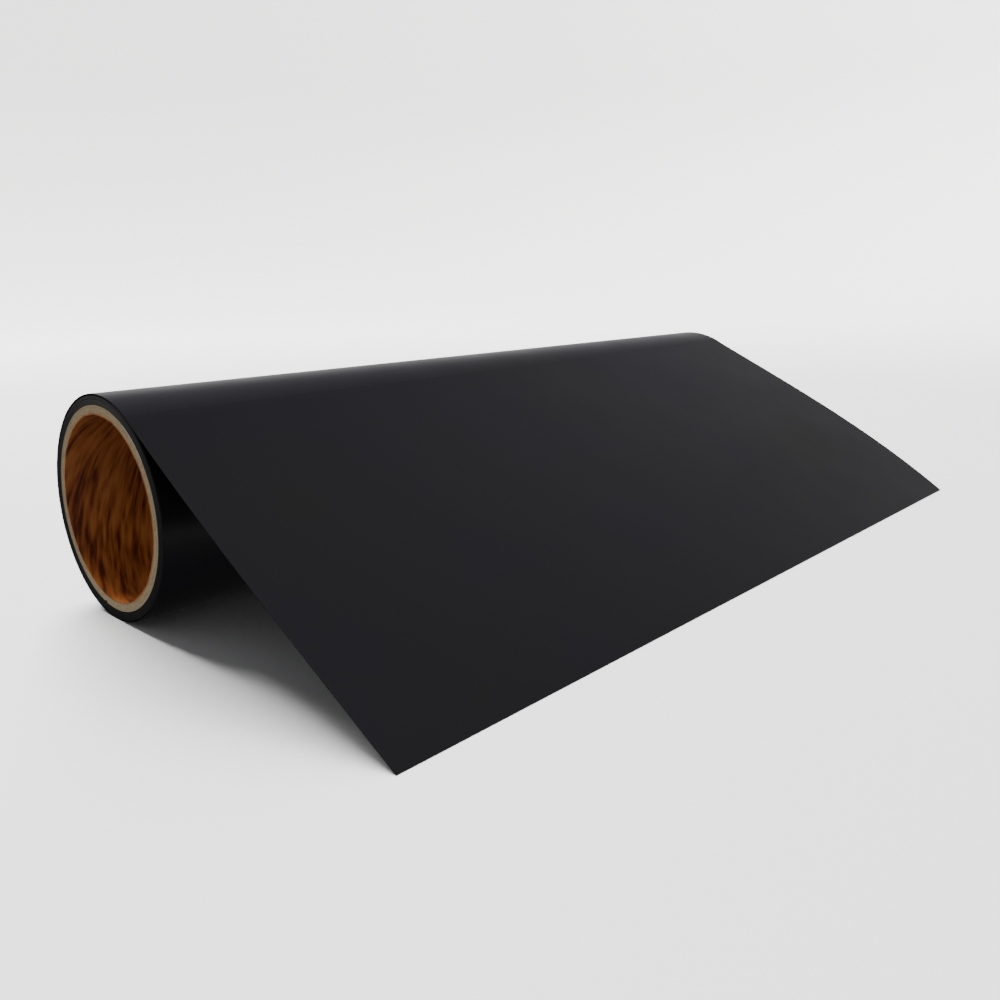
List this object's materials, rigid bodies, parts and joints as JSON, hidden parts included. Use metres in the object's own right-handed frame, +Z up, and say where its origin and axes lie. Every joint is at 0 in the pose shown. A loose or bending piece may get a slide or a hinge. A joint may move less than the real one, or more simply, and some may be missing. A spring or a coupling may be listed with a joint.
{
  "type": "roll of sign vinyl",
  "caption": "Roll of matt black adhesive vinyl on a spiral-wound paper core, lying with its free end drawn over the top and down to the table.",
  "frame": {"origin": "on the core's axis, halfway along the roll", "axes": "+Y along the roll's axis, +X the way the web is drawn off the top of the roll, +Z up from the table that the roll lies on"},
  "size_m": [0.1461, 0.3048, 0.0618],
  "materials": {
    "brown_ply": "smooth brown kraft paper, faintly streaked",
    "board_ply": "rough grey recycled board",
    "fine_ply": "fine tan paper",
    "tape": "thin tissue tape with adhesive on both sides",
    "liner": "smoke-dark release liner, satin",
    "face_film": "matt black calendered vinyl"
  },
  "bodies": {
    "outer_turn": {"outer_turn_film": "face_film", "outer_turn_liner": "liner"},
    "roll": {"core_inner_ply": "brown_ply", "core_body_ply_1": "board_ply", "core_body_ply_2": "board_ply", "core_body_ply_3": "board_ply", "core_outer_ply": "fine_ply", "starter_tape": "tape", "wound_liner": "liner", "wound_film": "face_film"},
    "free_sheet": {"sheet_film": "face_film", "sheet_liner": "liner"}
  },
  "joints": [
    {"name": "roll_turn", "type": "hinge", "parent": "outer_turn", "child": "roll", "pos_m": [0, 0, 0], "axis": [0, 1, 0], "continuous": true},
    {"name": "sheet_lift", "type": "hinge", "parent": "outer_turn", "child": "free_sheet", "pos_m": [0.0155, 0, 0.02685], "axis": [0, -1, 0], "range_deg": [0, 30], "stiffness_Nm_per_rad": 0.1}
  ]
}
